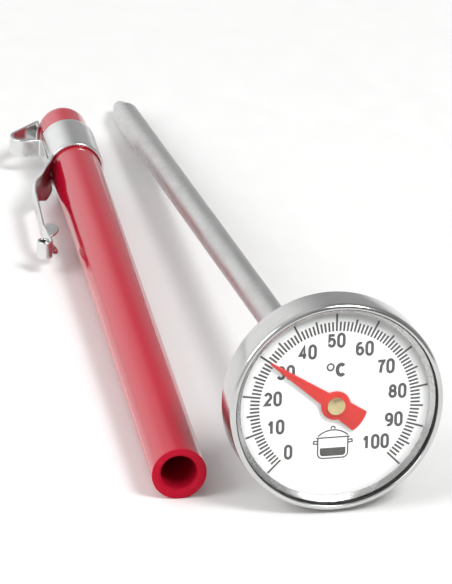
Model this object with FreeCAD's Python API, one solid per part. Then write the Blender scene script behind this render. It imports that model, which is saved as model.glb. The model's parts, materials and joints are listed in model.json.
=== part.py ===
"""Pocket dial thermometer with its sheath, laid side by side on a table.

Millimetres, +Z up. The origin is on the table, in the middle of the set's footprint.
Each sub-part is modelled on its own axis first: local +Y runs from the dial to the stem's tip,
or from the sheath's mouth to its closed end, and is then laid down with the group it belongs to.
"""
import FreeCAD
import Part
import math
import os

V = FreeCAD.Vector

# --- stem ------------------------------------------------------------------------------------
STEM_R = 2.0                 # 4 mm tube
STEM_BORE_R = 1.65
STEM_TOP = 3.4               # the tube starts inside the case, behind the dial
TIP_END = 132.0              # dial face to the very tip
NOSE_R = 1.0                 # small rounded nose
TAPER_LENGTH = 4.0
TAPER_START = TIP_END - NOSE_R - TAPER_LENGTH
CONE_ANGLE = 13.6            # degrees between the cone's side and the axis
TIP_SPIGOT = 2.0
PRESS_GAP = 0.02             # radial play of a pressed joint
GROOVE_START = 23.2          # rolled groove that the end of the neck's spigot is locked in
GROOVE_END = 24.2
GROOVE_R = 1.8

# --- head ------------------------------------------------------------------------------------
HEAD_R = 14.5                # 29 mm over the bezel
SHEET = 0.4                  # stainless sheet of case and bezel
BEZEL_FRONT = -1.55          # everything in front of the dial face is negative
BEZEL_REAR = 4.0
BEZEL_EDGE_R = 0.6
BEZEL_REAR_EDGE_R = 0.4
TURN_IN_GAP = 0.05           # around the case, under the bezel's turned-in rear edge
LIP_R = 13.75                # inner edge of the rolled lip
CASE_R = 14.1
CASE_NECKED_R = 13.55        # behind the bezel's rear lip
CASE_BACK = 5.3
CASE_EDGE_R = 1.0
CASE_HOLE_R = 2.6
STACK_R = 13.95              # dial, spacer, lens and gasket share one diameter
DIAL_THICK = 0.4
DIAL_HOLE_R = 0.9
SPACER_R = 12.85
SPACER_TOP_R = 13.55
SPACER_FRONT = -0.55
LENS_EDGE = 0.5
LENS_RISE = 0.7
LENS_FLAT_R = 13.3           # the dome starts inside the clamped rim
GASKET = 0.15
GASKET_R = 13.6

# --- pointer and movement ----------------------------------------------------------------------
READING = 30.0               # degrees Celsius shown at rest
SCALE_START = -135.0         # angle of 0 degrees Celsius, clockwise from the top of the dial
SCALE_STEP = 2.7             # degrees of arc per degree Celsius
POINTER_BACK = -0.3
POINTER_THICK = 0.2
POINTER_LENGTH = 11.05
POINTER_ROOT = 2.2           # blade width beside the hub
POINTER_TIP = 0.3
POINTER_HUB_R = 2.0
TAIL_R = 4.4
TAIL_ROOT = 2.6
TAIL_HALF_ANGLE = 21.4
CAP_R = 1.2
CAP_HEIGHT = 0.45
CAP_WALL = 0.27              # straight side below the cap's dome
COLLET_R = 0.85
COLLET_LENGTH = 0.22
SPINDLE_R = 0.45
COIL_START = 88.5
COIL_END = 124.5
COIL_R = 1.4
COIL_STRIP = 0.25
COIL_WIDTH = 1.5
COIL_PITCH = 2.4
ANCHOR_R = 1.1
ANCHOR_LENGTH = 1.4
BUSH_LENGTH = 2.5
BUSH_BORE_R = 0.5
UPPER_BUSH = 6.0
LOWER_BUSH = 83.0

# --- neck: flanged bush, spring washer, hex nut, collar -------------------------------------------
FLANGE_R = 5.0
FLANGE_THICK = 0.5
NECK_BUSH_R = 2.55
BACK_PLAY = 0.05             # between the case back and the hex nut
WASHER_R = 4.8
WASHER_THICK = 0.2
WASHER_PLAY = 0.03
WASHER_FIT = 0.1             # around the neck bush
NUT_FLATS = 9.0
NUT_LENGTH = 8.0
NUT_CHAMFER = 0.5
COLLAR_R = 3.0
COLLAR_END = 18.7            # the sheath's mouth seats here
SPIGOT_R = 2.4               # grips the bore of the sheath
SPIGOT_END = 24.0
SPIGOT_LEAD = 0.5
SPIGOT_NOSE_R = 2.1

# --- sheath ----------------------------------------------------------------------------------
SHEATH_R = 3.7
SHEATH_BORE_R = 2.45
SHEATH_LENGTH = 115.8
SHEATH_DEPTH = 114.1
MOUTH_CHAMFER_R = 2.85
MOUTH_CHAMFER = 0.5
MOUTH_EDGE = 0.15

# --- clip: spring sheet wrapped round the closed end ------------------------------------------------
CLIP_SHEET = 0.45
CLIP_GRIP = 0.03             # radial play on the sheath, so that the band can be turned
BAND_START = 98.5
BAND_END = 107.6
BAND_CUT = 70.0              # cut edge of the band: degrees from the top towards the loop side
BAND_TAIL = 112.0            # where the band ends after going round underneath
TAB_SPREAD = 38.0            # the band's end runs on past BAND_END over this angle
TAB_END = 113.6
TAB_BRIDGE = 111.4
TAB_OVERLAP = 4.0            # degrees by which the band and its end run into each other
BRIDGE_OVERLAP = 2.0
STRIP_HALF = 1.35            # half width of the loop's strip
STRIP_MID = SHEATH_R + CLIP_GRIP + CLIP_SHEET / 2
LOOP_PATH = [(113.3, STRIP_MID), (106.2, 11.33), (106.75, STRIP_MID), (98.6, STRIP_MID)]
LOOP_BENDS = [1.8, 0.5]
ARM_GAP = 0.08               # between the band's edge and the flexing root of the arm
ARM_SHEET = 0.4
ARM_PATH = [(BAND_START - ARM_GAP, STRIP_MID), (97.0, STRIP_MID), (91.4, 7.25), (77.0, 7.75), (73.6, 7.3),
            (71.65, 7.3)]
ARM_BENDS = [2.2, 3.5, 6.0, 3.0]
ARM_HALF_WIDTHS = [(99.0, 1.3), (98.4, 1.5), (97.4, 2.2), (94.4, 2.3), (91.6, 1.7), (89.4, 1.3), (60.0, 1.3)]
BLANK_REACH = 12.0           # the flat blank's outline cuts the bent strip out to here
CURL_TURNS = [(0.95, 180.0), (0.70, 180.0), (0.46, 90.0)]
EAR_CENTRE = 75.1
EAR_HALF = 2.2
EAR_REACH = 1.75
EAR_BASE = 7.55

# --- how the two pieces lie ----------------------------------------------------------------------
SHEATH_X = -19.6             # sheath's mouth, from the point under the dial's centre
SHEATH_Y = 4.6
SHEATH_TURN = 3.97           # degrees from the stem's direction
FOOTPRINT_X = -4.76          # middle of the whole set, from the same point
FOOTPRINT_Y = 64.193

AXIS = V(0, 1, 0)
ORIGIN = V(0, 0, 0)
SAME_POINT = 1e-6


def outline(start, *steps):
    """Closed face in the XY plane. A step is an end point, or (middle, end) for an arc."""
    edges = []
    here = V(start[0], start[1], 0)
    for step in list(steps) + [start]:
        arc = isinstance(step[0], tuple)
        end = step[1] if arc else step
        there = V(end[0], end[1], 0)
        if arc:
            middle = V(step[0][0], step[0][1], 0)
            edges.append(Part.Arc(here, middle, there).toShape())
        elif here.distanceToPoint(there) > SAME_POINT:
            edges.append(Part.LineSegment(here, there).toShape())
        here = there
    return Part.Face(Part.Wire(edges))


def revolved(start, *steps):
    """Solid of revolution about the local Y axis; outline points are (radius, distance)."""
    return outline(start, *steps).revolve(ORIGIN, AXIS, 360)


def tube(inner, outer, start, end):
    return revolved((inner, start), (outer, start), (outer, end), (inner, end))


def corner(centre, radius, degrees):
    """Point on a circle of an outline, for the middle and end of its arcs."""
    angle = math.radians(degrees)
    return (centre[0] + radius * math.cos(angle), centre[1] + radius * math.sin(angle))


def dome_middle(radius, rim, rise):
    """Point at half the radius of a shallow spherical dome that bulges forward from its rim."""
    sphere = (radius ** 2 + rise ** 2) / (2 * rise)
    x = radius / 2
    return (x, rim - rise + sphere - math.sqrt(sphere ** 2 - x ** 2))


# --- head --------------------------------------------------------------------------------------
def bezel():
    """Rolled ring: its lip covers the lens, its rear edge is turned in behind the case's step."""
    front = (HEAD_R - BEZEL_EDGE_R, BEZEL_FRONT + BEZEL_EDGE_R)
    rear = (HEAD_R - BEZEL_REAR_EDGE_R, BEZEL_REAR - BEZEL_REAR_EDGE_R)
    inner = CASE_R + PRESS_GAP
    under_lip = SPACER_FRONT - LENS_EDGE - GASKET
    rear_lip = BEZEL_REAR - SHEET + TURN_IN_GAP
    turned_in = CASE_NECKED_R + TURN_IN_GAP
    return revolved((LIP_R, under_lip), (LIP_R, BEZEL_FRONT), corner(front, BEZEL_EDGE_R, -90),
                    (corner(front, BEZEL_EDGE_R, -45), corner(front, BEZEL_EDGE_R, 0)),
                    corner(rear, BEZEL_REAR_EDGE_R, 0),
                    (corner(rear, BEZEL_REAR_EDGE_R, 45), corner(rear, BEZEL_REAR_EDGE_R, 90)),
                    (turned_in, BEZEL_REAR), (turned_in, rear_lip),
                    (inner, rear_lip), (inner, under_lip))


def case_cup():
    """Deep-drawn cup: side wall, step for the bezel's rear edge, flat back with the neck hole."""
    step = BEZEL_REAR - SHEET
    outer_edge = (CASE_NECKED_R - CASE_EDGE_R, CASE_BACK - CASE_EDGE_R)
    inner_r = CASE_EDGE_R - SHEET
    return revolved((CASE_R - SHEET, DIAL_THICK), (CASE_R, DIAL_THICK), (CASE_R, step),
                    (CASE_NECKED_R, step), corner(outer_edge, CASE_EDGE_R, 0),
                    (corner(outer_edge, CASE_EDGE_R, 45), corner(outer_edge, CASE_EDGE_R, 90)),
                    (CASE_HOLE_R, CASE_BACK), (CASE_HOLE_R, CASE_BACK - SHEET),
                    corner(outer_edge, inner_r, 90),
                    (corner(outer_edge, inner_r, 45), corner(outer_edge, inner_r, 0)),
                    (CASE_NECKED_R - SHEET, step - SHEET), (CASE_R - SHEET, step - SHEET))


def dial_plate():
    return tube(DIAL_HOLE_R, STACK_R, 0, DIAL_THICK)


def spacer_ring():
    """Bevelled ring between the dial's edge and the lens."""
    return revolved((SPACER_R, 0), (SPACER_TOP_R, SPACER_FRONT), (STACK_R, SPACER_FRONT), (STACK_R, 0))


def lens():
    """Slightly domed window with a flat clamped rim."""
    back = SPACER_FRONT
    front = SPACER_FRONT - LENS_EDGE
    inside = dome_middle(LENS_FLAT_R, back, LENS_RISE)
    outside = dome_middle(LENS_FLAT_R, front, LENS_RISE)
    return revolved((0, back - LENS_RISE), (inside, (LENS_FLAT_R, back)), (STACK_R, back),
                    (STACK_R, front), (LENS_FLAT_R, front), (outside, (0, front - LENS_RISE)))


def lens_gasket():
    front = SPACER_FRONT - LENS_EDGE
    return tube(GASKET_R, STACK_R, front - GASKET, front)


# --- pointer and movement --------------------------------------------------------------------------
def pointer():
    """Flat stamped hand: tapering blade, round hub, flared tail with an arc end."""
    blade = [V(-POINTER_ROOT / 2, 0, 0), V(-POINTER_TIP / 2, 0, POINTER_LENGTH),
             V(POINTER_TIP / 2, 0, POINTER_LENGTH), V(POINTER_ROOT / 2, 0, 0)]
    spread = math.radians(TAIL_HALF_ANGLE)
    left = V(-TAIL_R * math.sin(spread), 0, -TAIL_R * math.cos(spread))
    right = V(-left.x, 0, left.z)
    tail = Part.Wire([Part.LineSegment(V(-TAIL_ROOT / 2, 0, 0), left).toShape(),
                      Part.Arc(left, V(0, 0, -TAIL_R), right).toShape(),
                      Part.LineSegment(right, V(TAIL_ROOT / 2, 0, 0)).toShape(),
                      Part.LineSegment(V(TAIL_ROOT / 2, 0, 0), V(-TAIL_ROOT / 2, 0, 0)).toShape()])
    thick = V(0, POINTER_THICK, 0)
    hand = Part.makeCylinder(POINTER_HUB_R, POINTER_THICK, ORIGIN, AXIS)
    hand = hand.fuse([Part.Face(Part.makePolygon(blade + blade[:1])).extrude(thick),
                      Part.Face(tail).extrude(thick)])
    hole = Part.makeCylinder(SPINDLE_R, 3 * POINTER_THICK, V(0, -POINTER_THICK, 0), AXIS)
    hand = hand.cut(hole).removeSplitter()
    hand.translate(V(0, POINTER_BACK - POINTER_THICK, 0))
    hand.rotate(ORIGIN, AXIS, SCALE_START + SCALE_STEP * READING)
    return hand


def hub_cap():
    """Domed brass cap pressed over the spindle's end."""
    back = POINTER_BACK - POINTER_THICK
    edge = back - CAP_WALL
    crown = dome_middle(CAP_R, edge, CAP_HEIGHT - CAP_WALL)
    return revolved((0, back), (CAP_R, back), (CAP_R, edge), (crown, (0, back - CAP_HEIGHT)))


def pointer_collet():
    return tube(SPINDLE_R, COLLET_R, POINTER_BACK, POINTER_BACK + COLLET_LENGTH)


def spindle():
    length = COIL_START - POINTER_BACK + POINTER_THICK
    return Part.makeCylinder(SPINDLE_R, length, V(0, POINTER_BACK - POINTER_THICK, 0), AXIS)


def bimetal_coil():
    """Helical bimetal strip: fixed at the tip, its free end turns the spindle."""
    helix = Part.makeHelix(COIL_PITCH, COIL_END - COIL_START - COIL_WIDTH, COIL_R - COIL_STRIP / 2)
    inner = COIL_R - COIL_STRIP
    section = Part.makePolygon([V(inner, 0, -COIL_WIDTH / 2), V(COIL_R, 0, -COIL_WIDTH / 2),
                                V(COIL_R, 0, COIL_WIDTH / 2), V(inner, 0, COIL_WIDTH / 2),
                                V(inner, 0, -COIL_WIDTH / 2)])
    sweep = Part.BRepOffsetAPI.MakePipeShell(Part.Wire(helix.Edges))
    sweep.setFrenetMode(True)
    sweep.add(section)
    sweep.build()
    sweep.makeSolid()
    coil = sweep.shape()
    coil.rotate(ORIGIN, V(1, 0, 0), -90)
    coil.translate(V(0, COIL_START + COIL_WIDTH / 2, 0))
    return coil


def coil_hub():
    """Small brass drum on the spindle that the coil's upper end is welded to."""
    return tube(SPINDLE_R, COIL_R - COIL_STRIP, COIL_START - ANCHOR_LENGTH, COIL_START)


def coil_anchor():
    return Part.makeCylinder(ANCHOR_R, TAPER_START - TIP_SPIGOT - COIL_END + COIL_WIDTH,
                             V(0, COIL_END - COIL_WIDTH, 0), AXIS)


def guide_bush(start):
    return tube(BUSH_BORE_R, STEM_BORE_R - PRESS_GAP, start, start + BUSH_LENGTH)


# --- stem ----------------------------------------------------------------------------------------
def stem_tube():
    """Tube with one rolled groove, which stands in from the bore by as much as it goes in outside."""
    wall = STEM_R - STEM_BORE_R
    rolled = GROOVE_R - wall
    return revolved((STEM_BORE_R, STEM_TOP), (STEM_R, STEM_TOP), (STEM_R, GROOVE_START),
                    (GROOVE_R, GROOVE_START), (GROOVE_R, GROOVE_END), (STEM_R, GROOVE_END),
                    (STEM_R, TAPER_START), (STEM_BORE_R, TAPER_START), (STEM_BORE_R, GROOVE_END + wall),
                    (rolled, GROOVE_END + wall), (rolled, GROOVE_START - wall),
                    (STEM_BORE_R, GROOVE_START - wall))


def stem_tip():
    """Welded plug: spigot inside the tube, cone, rounded nose."""
    inner = STEM_BORE_R - PRESS_GAP
    nose = (0, TIP_END - NOSE_R)
    start = TAPER_START - TIP_SPIGOT
    return revolved((0, start), (inner, start), (inner, TAPER_START), (STEM_R, TAPER_START),
                    corner(nose, NOSE_R, CONE_ANGLE),
                    (corner(nose, NOSE_R, (CONE_ANGLE + 90) / 2), (0, TIP_END)))


def neck_bush():
    """Flanged bush pressed on the stem: the case turns on it."""
    flange_end = STEM_TOP + FLANGE_THICK
    end = CASE_BACK + BACK_PLAY
    return revolved((STEM_R, STEM_TOP), (FLANGE_R, STEM_TOP), (FLANGE_R, flange_end),
                    (NECK_BUSH_R, flange_end), (NECK_BUSH_R, end), (STEM_R, end))


def spring_washer():
    """Dished washer: it presses the case back against the hex nut, so the head stays where set."""
    low = STEM_TOP + FLANGE_THICK + WASHER_PLAY
    high = CASE_BACK - SHEET - WASHER_PLAY
    inner = NECK_BUSH_R + WASHER_FIT
    return revolved((inner, low), (inner + WASHER_THICK, low), (WASHER_R, high - WASHER_THICK),
                    (WASHER_R, high), (WASHER_R - WASHER_THICK, high), (inner, low + WASHER_THICK))


def hex_nut():
    start = CASE_BACK + BACK_PLAY
    across = NUT_FLATS / math.sqrt(3)
    ring = [V(across * math.cos(math.radians(60 * i)), start, across * math.sin(math.radians(60 * i)))
            for i in range(7)]
    prism = Part.Face(Part.makePolygon(ring)).extrude(V(0, NUT_LENGTH, 0))
    end = start + NUT_LENGTH
    turned = revolved((STEM_R, start), (across - NUT_CHAMFER, start), (across, start + NUT_CHAMFER),
                      (across, end - NUT_CHAMFER), (across - NUT_CHAMFER, end), (STEM_R, end))
    return prism.common(turned)


def neck_collar():
    """Turned collar behind the nut: shoulder for the sheath's mouth, spigot that holds it."""
    start = CASE_BACK + BACK_PLAY + NUT_LENGTH
    return revolved((STEM_R, start), (COLLAR_R, start), (COLLAR_R, COLLAR_END), (SPIGOT_R, COLLAR_END),
                    (SPIGOT_R, SPIGOT_END - SPIGOT_LEAD), (SPIGOT_NOSE_R, SPIGOT_END), (STEM_R, SPIGOT_END))


# --- sheath ----------------------------------------------------------------------------------------
def sheath_tube():
    """Moulded tube: open chamfered mouth, domed closed end."""
    dome = (0, SHEATH_LENGTH - SHEATH_R)
    bore_end = (0, SHEATH_DEPTH - SHEATH_BORE_R)
    return revolved((MOUTH_CHAMFER_R, 0), (SHEATH_R - MOUTH_EDGE, 0), (SHEATH_R, MOUTH_EDGE),
                    corner(dome, SHEATH_R, 0), (corner(dome, SHEATH_R, 45), corner(dome, SHEATH_R, 90)),
                    (0, SHEATH_DEPTH),
                    (corner(bore_end, SHEATH_BORE_R, 45), corner(bore_end, SHEATH_BORE_R, 0)),
                    (SHEATH_BORE_R, MOUTH_CHAMFER))


# --- clip: local X points away from the loop side, so a point (s, reach) is at (-reach, s) ---------
def wrap(start, end, first, last):
    """Part of a ring on the sheath, from angle first to last, measured from the top to the loop."""
    inner = SHEATH_R + CLIP_GRIP
    section = Part.Face(Part.makePolygon([V(0, start, inner), V(0, start, inner + CLIP_SHEET),
                                          V(0, end, inner + CLIP_SHEET), V(0, end, inner),
                                          V(0, start, inner)]))
    section.rotate(ORIGIN, AXIS, -first)
    return section.revolve(ORIGIN, AXIS, first - last)


def rounded_path(points, bends):
    """Straight runs joined by tangent arcs; returns the edges in order."""
    nodes = [V(-reach, s, 0) for s, reach in points]
    edges = []
    here = nodes[0]
    for before, at, after, radius in zip(nodes, nodes[1:], nodes[2:], bends):
        back = (before - at).normalize()
        ahead = (after - at).normalize()
        half = back.getAngle(ahead) / 2
        reach = radius / math.tan(half)
        centre = at + (back + ahead).normalize() * (radius / math.sin(half))
        start = at + back * reach
        end = at + ahead * reach
        middle = centre + (at - centre).normalize() * radius
        edges.append(Part.LineSegment(here, start).toShape())
        edges.append(Part.Arc(start, middle, end).toShape())
        here = end
    edges.append(Part.LineSegment(here, nodes[-1]).toShape())
    return edges


def bent_strip(edges, thick, half):
    """Sheet strip standing on edge: its centre line is bent in the XY plane."""
    path = Part.Wire(edges)
    first = path.Edges[0]
    start = first.valueAt(first.FirstParameter)
    along = first.tangentAt(first.FirstParameter)
    side = along.cross(V(0, 0, 1)).normalize() * (thick / 2)
    rise = V(0, 0, half)
    section = Part.makePolygon([start + side + rise, start - side + rise, start - side - rise,
                                start + side - rise, start + side + rise])
    sweep = Part.BRepOffsetAPI.MakePipeShell(path)
    sweep.setBiNormalMode(V(0, 0, 1))
    sweep.add(section)
    sweep.build()
    sweep.makeSolid()
    return sweep.shape()


def clip_band():
    """Spring band with the stem loop bent from its end; the loop's strip runs on under the band."""
    band = wrap(BAND_START, BAND_END, BAND_CUT, BAND_TAIL - 360)
    tab = wrap(BAND_END - CLIP_SHEET, TAB_END, BAND_TAIL + TAB_SPREAD, BAND_TAIL - TAB_OVERLAP)
    bridge = wrap(TAB_BRIDGE, TAB_END, BAND_TAIL, BAND_CUT - BRIDGE_OVERLAP)
    loop = bent_strip(rounded_path(LOOP_PATH, LOOP_BENDS), CLIP_SHEET, STRIP_HALF)
    bore = Part.makeCylinder(SHEATH_R + CLIP_GRIP, TAB_END, V(0, BAND_START - 1, 0), AXIS)
    return band.fuse([tab, bridge, loop]).cut(bore).removeSplitter()


def curl(start):
    """Shrinking half turns that finish the arm, starting along its last straight run."""
    edges = []
    here = start
    towards_centre = V(-1, 0, 0)
    turn_about = V(0, 0, 1)
    for radius, degrees in CURL_TURNS:
        centre = here + towards_centre * radius
        half_turn = FreeCAD.Rotation(turn_about, -degrees / 2)
        middle = centre + half_turn.multVec(here - centre)
        end = centre + half_turn.multVec(middle - centre)
        edges.append(Part.Arc(here, middle, end).toShape())
        towards_centre = (centre - end).normalize()
        here = end
    return edges


def clip_arm():
    """Pocket arm: springs out from the band, with two folded ears and a curled end."""
    edges = rounded_path(ARM_PATH, ARM_BENDS)
    edges += curl(edges[-1].valueAt(edges[-1].LastParameter))
    widest = max(half for s, half in ARM_HALF_WIDTHS)
    strip = bent_strip(edges, ARM_SHEET, widest)
    upper = [V(-BLANK_REACH, s, half) for s, half in ARM_HALF_WIDTHS]
    lower = [V(-BLANK_REACH, s, -half) for s, half in reversed(ARM_HALF_WIDTHS)]
    envelope = Part.Face(Part.makePolygon(upper + lower + upper[:1])).extrude(V(BLANK_REACH, 0, 0))
    arm = strip.common(envelope)
    half = ARM_HALF_WIDTHS[-1][1]
    for top in (half, -half + ARM_SHEET):
        base_a = V(-EAR_BASE, EAR_CENTRE + EAR_HALF, top)
        base_b = V(-EAR_BASE, EAR_CENTRE - EAR_HALF, top)
        reach = V(-EAR_BASE + EAR_REACH, EAR_CENTRE, top)
        rim = Part.Wire([Part.Arc(base_a, reach, base_b).toShape(),
                         Part.LineSegment(base_b, base_a).toShape()])
        arm = arm.fuse(Part.Face(rim).extrude(V(0, 0, -ARM_SHEET)))
    return arm.removeSplitter()


# --- laying the pieces on the table ----------------------------------------------------------------
def stem_slope():
    """Angle at which the thermometer lies: on the bezel's front edge and on the stem near the tip."""
    rim = (BEZEL_REAR - BEZEL_REAR_EDGE_R, HEAD_R - BEZEL_REAR_EDGE_R, BEZEL_REAR_EDGE_R)
    tip = (TAPER_START, STEM_R, 0.0)
    run = tip[0] - rim[0]
    drop = rim[1] - tip[1]
    return math.atan2(drop, run) + math.asin((rim[2] - tip[2]) / math.hypot(run, drop))


def place_thermometer(shape):
    slope = stem_slope()
    height = TAPER_START * math.sin(slope) + STEM_R * math.cos(slope)
    shape.rotate(ORIGIN, V(1, 0, 0), -math.degrees(slope))
    shape.translate(V(-FOOTPRINT_X, -FOOTPRINT_Y, height))
    return shape


def sheath_slope():
    """The clip's band lifts the closed end a little."""
    return math.atan2(CLIP_GRIP + CLIP_SHEET, BAND_START - MOUTH_EDGE)


def place_sheath(shape):
    slope = sheath_slope()
    height = SHEATH_R * math.cos(slope) - MOUTH_EDGE * math.sin(slope)
    shape.rotate(ORIGIN, V(1, 0, 0), math.degrees(slope))
    shape.rotate(ORIGIN, V(0, 0, 1), -SHEATH_TURN)
    shape.translate(V(SHEATH_X - FOOTPRINT_X, SHEATH_Y - FOOTPRINT_Y, height))
    return shape


THERMOMETER = {
    "bezel": bezel, "case_cup": case_cup, "dial_plate": dial_plate, "spacer_ring": spacer_ring,
    "lens": lens, "lens_gasket": lens_gasket, "pointer": pointer, "hub_cap": hub_cap,
    "pointer_collet": pointer_collet, "spindle": spindle, "bimetal_coil": bimetal_coil,
    "coil_hub": coil_hub, "coil_anchor": coil_anchor,
    "upper_guide_bush": lambda: guide_bush(UPPER_BUSH), "lower_guide_bush": lambda: guide_bush(LOWER_BUSH),
    "stem_tube": stem_tube, "stem_tip": stem_tip, "neck_bush": neck_bush,
    "spring_washer": spring_washer, "hex_nut": hex_nut, "neck_collar": neck_collar,
}
SHEATH = {"sheath_tube": sheath_tube, "clip_band": clip_band, "clip_arm": clip_arm}

os.makedirs("parts", exist_ok=True)
for pieces, place in ((THERMOMETER, place_thermometer), (SHEATH, place_sheath)):
    for name, make in pieces.items():
        solid = place(make())
        if not solid.isValid() or len(solid.Solids) != 1:
            raise ValueError("%s is not one valid solid" % name)
        solid.exportStep("parts/%s.step" % name)
        box = solid.BoundBox
        print("%-18s %8.2f mm3  x %.2f..%.2f  y %.2f..%.2f  z %.2f..%.2f" % (
            name, solid.Volume, box.XMin, box.XMax, box.YMin, box.YMax, box.ZMin, box.ZMax))
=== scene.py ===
import json
import math

import bmesh
import bpy
from mathutils import Matrix, Vector


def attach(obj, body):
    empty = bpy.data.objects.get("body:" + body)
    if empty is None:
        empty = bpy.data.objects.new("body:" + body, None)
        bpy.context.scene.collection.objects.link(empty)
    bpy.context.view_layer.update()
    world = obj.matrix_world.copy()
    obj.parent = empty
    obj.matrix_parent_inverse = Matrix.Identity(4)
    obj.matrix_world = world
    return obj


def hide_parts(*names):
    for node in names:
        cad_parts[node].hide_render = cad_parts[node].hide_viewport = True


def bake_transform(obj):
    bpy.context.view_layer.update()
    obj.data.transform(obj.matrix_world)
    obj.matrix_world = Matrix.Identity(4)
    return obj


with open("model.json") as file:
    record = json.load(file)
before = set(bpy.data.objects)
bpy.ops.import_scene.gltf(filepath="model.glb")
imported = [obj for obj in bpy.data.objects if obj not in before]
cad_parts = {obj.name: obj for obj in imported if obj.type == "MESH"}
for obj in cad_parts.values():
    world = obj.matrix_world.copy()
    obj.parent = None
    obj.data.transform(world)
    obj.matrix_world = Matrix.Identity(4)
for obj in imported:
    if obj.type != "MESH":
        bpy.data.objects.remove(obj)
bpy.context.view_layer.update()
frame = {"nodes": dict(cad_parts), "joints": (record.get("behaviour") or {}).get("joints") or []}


# ---------------------------------------------------------------------------------------------
# Stem: a drawn stainless tube, 4 mm across, that lies along +Y and carries everything else.
# Its tip is a turned plug with a cone and a small round nose, welded in and polished flush.
STEM_R = 2.0
STEM_BORE_R = 1.65
STEM_TOP = 3.4
TIP_END = 132.0
NOSE_R = 1.0
TAPER_START = 127.0
TIP_SPIGOT = 2.0
CONE_ANGLE = 13.6
PRESS_GAP = 0.02
GROOVE_START = 23.2
GROOVE_END = 24.2
GROOVE_R = 1.8
SATIN_STEEL = (0.62, 0.62, 0.615)


def joint(name):
    return next(j for j in frame["joints"] if j["name"] == name)


def lay_down(origin, along):
    """Matrix that takes a piece modelled in millimetres about its own +Y axis to its place."""
    y = Vector(along).normalized()
    x = y.cross(Vector((0, 0, 1))).normalized()
    turn = Matrix((x, y, x.cross(y))).transposed().to_4x4()
    return Matrix.Translation(origin) @ turn @ Matrix.Scale(0.001, 4)


THERMOMETER = lay_down(joint("calibration_turn")["pos_m"], joint("calibration_turn")["axis"])


def arc(centre, radius, first, last, steps=12):
    """Points of an arc in a section, degrees counted from the radial direction."""
    turns = [math.radians(first + (last - first) * i / steps) for i in range(steps + 1)]
    return [(centre[0] + radius * math.cos(a), centre[1] + radius * math.sin(a)) for a in turns]


def eased(points, closed=True, steps=5):
    """Outline with its corners rounded; a corner is (x, y) or (x, y, radius)."""
    made = []
    count = len(points)
    for i, point in enumerate(points):
        at = Vector(point[:2])
        if len(point) == 2 or (not closed and i in (0, count - 1)):
            made.append(tuple(at))
            continue
        back = (Vector(points[i - 1][:2]) - at).normalized()
        ahead = (Vector(points[(i + 1) % count][:2]) - at).normalized()
        half = back.angle(ahead) / 2
        reach = point[2] / math.tan(half)
        centre = at + (back + ahead).normalized() * point[2] / math.sin(half)
        start = at + back * reach - centre
        sweep = start.angle_signed(at + ahead * reach - centre)
        for k in range(steps + 1):
            angle = -sweep * k / steps
            x = start.x * math.cos(angle) - start.y * math.sin(angle)
            y = start.x * math.sin(angle) + start.y * math.cos(angle)
            made.append((centre.x + x, centre.y + y))
    return made


def piece(name, points, faces, place, sharp=35):
    """New object from points in millimetres, laid down in its place, smooth between sharp edges."""
    mesh = bpy.data.meshes.new(name)
    mesh.from_pydata([tuple(p) for p in points], [], faces)
    tidy = bmesh.new()
    tidy.from_mesh(mesh)
    bmesh.ops.remove_doubles(tidy, verts=tidy.verts, dist=1e-5)
    bmesh.ops.recalc_face_normals(tidy, faces=tidy.faces)
    tidy.to_mesh(mesh)
    tidy.free()
    mesh.transform(place)
    mesh.shade_smooth()
    mesh.set_sharp_from_angle(angle=math.radians(sharp))
    made = bpy.data.objects.new(name, mesh)
    bpy.context.scene.collection.objects.link(made)
    return made


def turned(name, section, place, segments=128, sharp=35):
    """Closed solid of revolution about +Y from a closed section of (radius, distance) points."""
    points, rings = [], []
    for radius, distance in section:
        if radius < 1e-6:
            rings.append([len(points)] * segments)
            points.append((0, distance, 0))
            continue
        rings.append([len(points) + i for i in range(segments)])
        for i in range(segments):
            angle = 2 * math.pi * i / segments
            points.append((radius * math.sin(angle), distance, radius * math.cos(angle)))
    faces = []
    for near, far in zip(rings, rings[1:] + rings[:1]):
        for i in range(segments):
            k = (i + 1) % segments
            corners = [near[i], near[k], far[k], far[i]]
            corners = [c for n, c in enumerate(corners) if c not in corners[:n]]
            if len(corners) > 2:
                faces.append(corners)
    return piece(name, points, faces, place, sharp)


def node(tree, kind, feeds=None, **settings):
    """Adds a node; feeds maps a socket to a value or to the output that drives it."""
    made = tree.nodes.new(kind)
    for key, value in settings.items():
        setattr(made, key, value)
    for socket, value in (feeds or {}).items():
        if isinstance(value, bpy.types.NodeSocket):
            tree.links.new(value, made.inputs[socket])
        else:
            made.inputs[socket].default_value = value
    return made


def node_group(name, kind, inputs, outputs):
    """Empty node group with named sockets; inputs are (name, type, value), outputs (name, type)."""
    tree = bpy.data.node_groups.new(name, kind)
    for label, socket, value in inputs:
        made = tree.interface.new_socket(label, in_out="INPUT", socket_type=socket)
        if value is not None:
            made.default_value = value
    for label, socket in outputs:
        tree.interface.new_socket(label, in_out="OUTPUT", socket_type=socket)
    return tree, tree.nodes.new("NodeGroupInput").outputs, tree.nodes.new("NodeGroupOutput").inputs


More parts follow.
